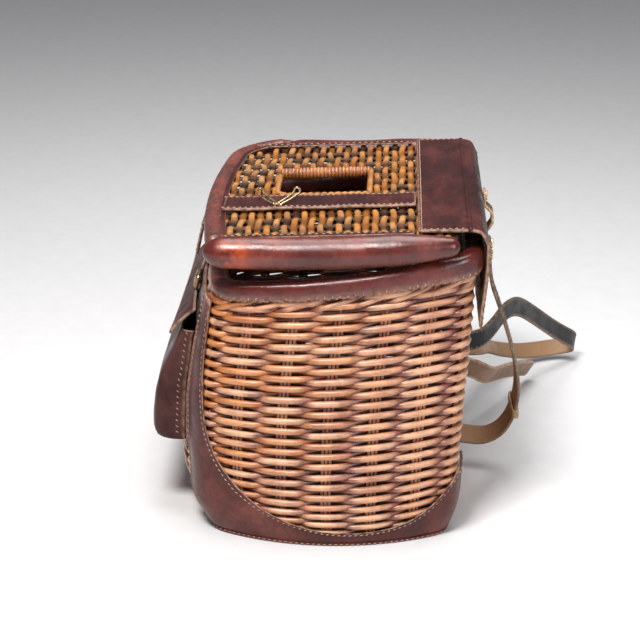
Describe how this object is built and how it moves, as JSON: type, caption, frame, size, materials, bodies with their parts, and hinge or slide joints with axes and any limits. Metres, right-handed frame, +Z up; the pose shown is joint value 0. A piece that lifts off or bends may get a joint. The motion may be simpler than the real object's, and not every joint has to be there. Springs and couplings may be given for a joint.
{
  "type": "wicker fishing creel",
  "caption": "Leather-bound wicker fishing creel with a hinged lid, fish hole, front pocket and shoulder harness.",
  "frame": {"origin": "on the floor, midway along the creel's width, near the middle of its foot", "axes": "+X along the width towards the straight rolled end, +Y towards the hinged back, +Z up"},
  "size_m": [0.4956, 0.4066, 0.2757],
  "materials": {
    "willow": "satin",
    "lid_willow": "satin",
    "cane": "satin",
    "cane_wrap": "gloss",
    "boot_leather": "satin",
    "binding_leather": "gloss",
    "yoke_leather": "satin",
    "pouch_leather": "satin",
    "tan_leather": "satin",
    "strap_leather": "gloss",
    "brass_wire": "polished"
  },
  "bodies": {
    "basket": {"wicker_body": "willow", "wicker_base": "willow", "base_leather": "boot_leather", "rim_binding": "binding_leather", "rim_hoop": "cane", "end_boot_right": "boot_leather", "end_boot_left": "boot_leather", "front_panel": "yoke_leather", "pocket_pouch": "pouch_leather", "hinge_leather_back": "yoke_leather", "back_loop": "tan_leather", "buckle_chape": "tan_leather", "strap_near": "strap_leather", "strap_far": "strap_leather", "strap_waist": "tan_leather", "strap_keeper": "tan_leather", "strap_pads": "boot_leather", "rivets": "brass_wire"},
    "lid": {"lid_wicker": "lid_willow", "lid_end_roll_right": "binding_leather", "lid_end_roll_left": "binding_leather", "lid_end_core_right": "cane", "lid_end_core_left": "cane", "lid_front_binding": "binding_leather", "lid_front_rod": "cane", "lid_strap": "yoke_leather", "hole_bar": "cane_wrap", "hole_bar_rod": "cane", "wire_clip": "brass_wire", "hinge_leather_lid": "yoke_leather"},
    "tongue": {"closing_tongue": "yoke_leather"},
    "flap": {"pocket_flap": "pouch_leather"},
    "buckle": {"buckle_frame": "brass_wire"},
    "prong": {"buckle_prong": "brass_wire"}
  },
  "joints": [
    {"name": "lid_hinge", "type": "hinge", "parent": "basket", "child": "lid", "pos_m": [0, 0.118, 0.271], "axis": [-1, 0, 0], "range_deg": [-3.5, 110]},
    {"name": "tongue_swing", "type": "hinge", "parent": "lid", "child": "tongue", "pos_m": [0.056, -0.11065, 0.24911], "axis": [-1, 0, 0], "range_deg": [0, 120]},
    {"name": "flap_hinge", "type": "hinge", "parent": "basket", "child": "flap", "pos_m": [0, -0.1194, 0.1855], "axis": [-1, 0, 0], "range_deg": [0, 50]},
    {"name": "buckle_swing", "type": "hinge", "parent": "basket", "child": "buckle", "pos_m": [0.056, -0.11785, 0.19229], "axis": [1, 0, 0], "range_deg": [0, 85]},
    {"name": "prong_swing", "type": "hinge", "parent": "buckle", "child": "prong", "pos_m": [0.056, -0.11785, 0.19229], "axis": [1, 0, 0], "range_deg": [0, 25]}
  ]
}
